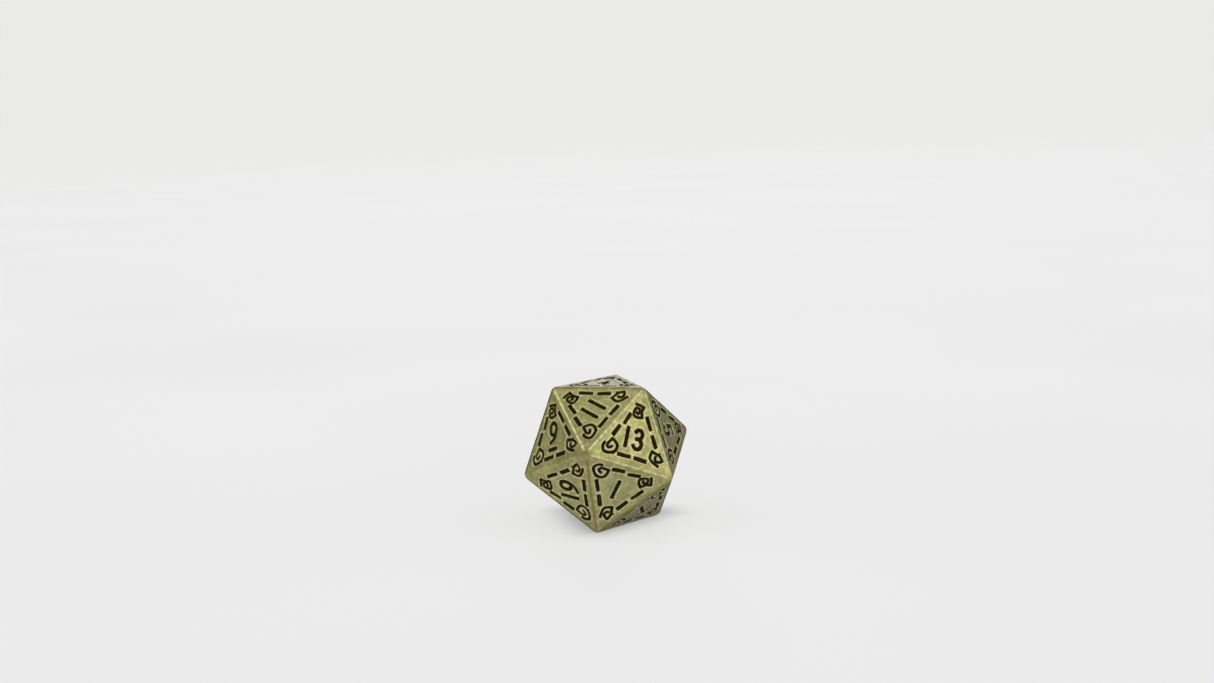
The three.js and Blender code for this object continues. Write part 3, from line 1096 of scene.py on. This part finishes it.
def marked_colour(n, plain, mottle, speckle):
    """Lighter where the lips of the marks are rubbed, partly a painted highlight on them, and dark
    where the patina sits in them.
    """
    groove = n.attribute("groove_share")
    # Rubbed lips beside the marks, partly a painted highlight.
    lip_wear_and_highlight = n.times(n.span(groove, 0.35, 0.62), n.span(groove, 0.86, 0.70))
    lip_wear_and_highlight = n.times(lip_wear_and_highlight, n.span(speckle, 0.65, 0.40, 0.25, 0.65))
    plain = n.mix(lip_wear_and_highlight, plain, LIP_WEAR_AND_HIGHLIGHT)
    stain = n.times(n.span(groove, 0.76, 0.98), n.span(mottle, 0.30, 0.62, 0.7, 1.0))
    return n.mix(stain, plain, STAIN_COLOUR)


def make_brass():
    material, n, surface = new_material("antiqued_brass")
    clouds, mottle, speckle = (n.noise(*spec) for spec in (CLOUDS, MOTTLE, SPECKLE))
    colour = marked_colour(n, plating_colour(n, clouds, mottle, speckle), mottle, speckle)

    # Each edge is rubbed bright, partly a painted highlight where it catches the light, or holds a
    # painted dark line of shade along its ridge.
    ridge = n.attribute("ridge_share")
    wear_and_light = n.attribute("wear_and_light_share")
    # Rubbed brass along the ridges, partly a painted highlight where an edge catches the light.
    rubbed_and_highlight = n.times(n.span(ridge, 0.60, 1.0), n.span(speckle, 0.60, 0.40, 0.4, 1.0))
    rubbed_and_highlight = n.times(rubbed_and_highlight, n.span(wear_and_light, 0.42, 0.95))
    # Painted shade: a dark line along the ridges of the least rubbed edges.
    painted_dark_rim = n.times(n.span(ridge, 0.50, 1.0), n.span(wear_and_light, 0.40, 0.0, 0.0, 0.85))
    colour = n.mix(painted_dark_rim, n.mix(rubbed_and_highlight, colour, RUBBED_EDGE_AND_HIGHLIGHT), PAINTED_DARK_RIM)
    n.set(surface["Base Color"], colour)
    n.set(surface["Metallic"], 1.0)
    n.set(surface["Specular Tint"], GRAZING_TINT)
    rough = n.span(mottle, 0.3, 0.7, 0.32, 0.46)
    n.set(surface["Roughness"], n.math("SUBTRACT", rough, n.times(rubbed_and_highlight, RUBBED_SHEEN)))
    normal = n.bump(clouds, 0.25, 0.0002)
    normal = n.bump(mottle, 0.35, 0.00007, normal)
    normal = n.bump(speckle, 0.30, 0.00003, normal)
    normal = n.bump(n.noise(*GRAIN), 0.20, 0.000012, normal)
    n.set(surface["Normal"], normal)
    return material


def make_enamel():
    material, n, surface = new_material("dark_enamel")
    mottle = n.noise(*ENAMEL_MOTTLE)
    patches = n.noise(*ENAMEL_PATCHES)
    colour = n.mix(n.span(mottle, 0.40, 0.72), ENAMEL_DARK, ENAMEL_LIGHT)
    colour = n.mix(n.times(n.span(patches, 0.54, 0.74), 0.4), colour, ENAMEL_RUSTY)
    n.set(surface["Base Color"], colour)
    n.set(surface["Roughness"], n.span(mottle, 0.3, 0.7, 0.60, 0.80))
    n.set(surface["Specular IOR Level"], 0.06)
    n.set(surface["Normal"], n.bump(mottle, 0.35, 0.00003))
    return material


BRASS = make_brass()
ENAMEL = make_enamel()

# ---- the pieces

face_frames = {number: FaceFrame(corners) for number, (corners, _, _) in FACES.items()}
fields = {}
for number, (_, border_turn, shift) in FACES.items():
    marks = numeral_marks(number, shift)
    border = border_strokes(border_turn, shift)
    seed = 0.0 if number == 1 else number * SEED_STEP
    fields[number] = field_of(border + [s for _, strokes in marks for s in strokes], seed)
    for name, strokes in marks:
        visible_name = name.replace("numeral_fill", "numeral_enamel")
        piece = build_enamel(visible_name, strokes, face_frames[number], seed)
        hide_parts(name)
    build_enamel(f"border_enamel_{number}", border, face_frames[number], seed)

casting = build_casting(face_frames, fields)
casting.data.materials.append(BRASS)
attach(casting, "root")
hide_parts("die_casting")

# ---- floor, light and camera

CAMERA_AZIMUTH = math.radians(13.2965)
CAMERA_ELEVATION = math.radians(8.173)
CAMERA_ROLL = math.radians(-1.947)
CAMERA_DISTANCE = 0.2454
CAMERA_LENS = 50.953
CAMERA_REACH = (0.005, 50)
SENSOR_WIDTH = 36
OFF_AXIS = (-0.00021, 0.06417)  # where the die is, right of and below the camera's axis, per metre

# The studio: its light from everywhere, and soft patches of more or less of it. Each patch has its
# angle to the right of the camera and its elevation in degrees, the cosines at which it begins and
# is full, and what it adds.
STUDIO_BASE = 0.60
PATCHES = (
    (62, 16, 0.62, 0.93, 0.42),
    (56, 22, 0.93, 0.985, 0.42),
    (0, 90, 0.55, 0.95, 0.20),
    (20, 62, 0.93, 0.99, 0.25),
    (-104, 12, 0.90, 0.98, 0.14),
    (-98, 45, 0.86, 0.97, 0.45),
    (-138, 3, 0.74, 0.94, -0.50),
    (128, 2, 0.66, 0.92, 0.14),
    (152, -4, 0.88, 0.97, -0.40),
    (180, 13, 0.94, 0.985, 2.70),
    (-165, 52, 0.84, 0.95, -0.30),
)
BACKDROP = (0.823, 0.823, 0.815, 1)
FLOOR_RADIUS = 3.0
FLOOR_SIDES = 96
FLOOR_FADE = (0.5, 2.2)  # metres from the die between which the floor fades into the backdrop
FLOOR_GLOW = 0.635
# The shade of the die on the floor: where beside its resting face it is deepest and ends in mm, and
# the share of the glow that is left there.
FLOOR_SHADE = (-4.0, 6.0, 0.15)
SHADE_SHIFT = 1.6  # mm by which the shade lies behind the die, away from the camera


def place_camera():
    """Adds the camera, and gives its directions to the right and forward."""
    a, e, r = CAMERA_AZIMUTH, CAMERA_ELEVATION, CAMERA_ROLL
    forward = Vector((-math.sin(a) * math.cos(e), math.cos(a) * math.cos(e), -math.sin(e)))
    level_right = forward.cross(Vector((0, 0, 1))).normalized()
    level_up = level_right.cross(forward)
    right = math.cos(r) * level_right + math.sin(r) * level_up
    up = -math.sin(r) * level_right + math.cos(r) * level_up
    data = bpy.data.cameras.new("camera")
    data.sensor_width = SENSOR_WIDTH
    data.lens = CAMERA_LENS
    data.clip_start, data.clip_end = CAMERA_REACH
    camera = bpy.data.objects.new("camera", data)
    die_centre = Vector((0, 0, INRADIUS * MM))
    x, y = (offset * CAMERA_DISTANCE for offset in OFF_AXIS)
    spot = die_centre - right * x + up * y - forward * CAMERA_DISTANCE
    turned = Matrix((right, up, -forward)).transposed().to_4x4()
    camera.matrix_world = Matrix.Translation(spot) @ turned
    bpy.context.scene.collection.objects.link(camera)
    bpy.context.scene.camera = camera
    return right, forward


def floor_glow(n, forward):
    """The floor's even glow, as of a translucent table that scatters light from all round, with a
    painted shadow of the die where it stands.
    """
    centre = tuple(SHADE_SHIFT * MM * Vector((forward.x, forward.y, 0)).normalized())
    spot = n.vector_math("SUBTRACT", n.coords, centre, "Vector")
    beside = n.math("SUBTRACT", n.vector_math("LENGTH", spot), FLAT_RADIUS * MM)
    for corner in LEVELS["base"][2]:
        side = math.radians(corner + 180)
        distance = n.vector_math("DOT_PRODUCT", spot, (math.cos(side), math.sin(side), 0))
        beside = n.math("MAXIMUM", beside, n.math("SUBTRACT", distance, FLAT_INRADIUS * MM))
    near, far, left = FLOOR_SHADE
    return n.span(beside, near * MM, far * MM, left * FLOOR_GLOW, FLOOR_GLOW)


def floor_material(forward):
    material, n, surface = new_material("pale_floor")
    colour = n.mix(n.span(n.noise(*FLOOR_TONE), 0.3, 0.7), FLOOR_DARK, FLOOR_LIGHT)
    n.set(surface["Base Color"], colour)
    n.set(surface["Roughness"], 0.9)
    n.set(surface["Specular IOR Level"], 0.1)
    n.set(surface["Emission Color"], WHITE)
    n.set(surface["Emission Strength"], floor_glow(n, forward))
    fade = n.span(n.vector_math("LENGTH", n.coords), *FLOOR_FADE)
    opaque = n.tree.nodes["Principled BSDF"].outputs["BSDF"]
    clear = n.new("BsdfTransparent").outputs["BSDF"]
    n.blended_surface(fade, opaque, clear, "Material Output")
    return material


def make_floor(forward):
    bm = bmesh.new()
    bmesh.ops.create_circle(
        bm, cap_ends=True, cap_tris=False, segments=FLOOR_SIDES, radius=FLOOR_RADIUS
    )
    mesh = bpy.data.meshes.new("floor")
    bm.to_mesh(mesh)
    bm.free()
    mesh.materials.append(floor_material(forward))
    floor = bpy.data.objects.new("floor", mesh)
    bpy.context.scene.collection.objects.link(floor)


def studio_direction(right, forward, azimuth, elevation):
    """A direction by its angle to the right of the camera, seen from the die, and its elevation."""
    a, e = math.radians(azimuth), math.radians(elevation)
    towards_camera = -Vector((forward.x, forward.y, 0)).normalized()
    side = Vector((right.x, right.y, 0)).normalized()
    level = math.cos(a) * towards_camera + math.sin(a) * side
    return math.cos(e) * level + Vector((0, 0, math.sin(e)))


def make_world(right, forward):
    """The studio that lights and is mirrored in the die, behind a plain backdrop for the camera."""
    world = bpy.data.worlds.new("studio")
    bpy.context.scene.world = world
    n = Nodes(world, "Generated")
    total = STUDIO_BASE
    for azimuth, elevation, low, high, amount in PATCHES:
        direction = studio_direction(right, forward, azimuth, elevation)
        cosine = n.vector_math("DOT_PRODUCT", n.coords, direction)
        total = n.math("ADD", n.span(cosine, low, high, 0, amount), total)
    studio = n.tree.nodes["Background"]
    n.set(studio.inputs["Strength"], total)
    n.set(studio.inputs["Color"], WHITE)
    backdrop = n.new("Background")
    n.set(backdrop.inputs["Color"], BACKDROP)
    seen = n.new("LightPath").outputs["Is Camera Ray"]
    shaders = studio.outputs["Background"], backdrop.outputs["Background"]
    n.blended_surface(seen, *shaders, "World Output")


right, forward = place_camera()
make_floor(forward)
make_world(right, forward)
bpy.context.scene.view_settings.view_transform = "Standard"
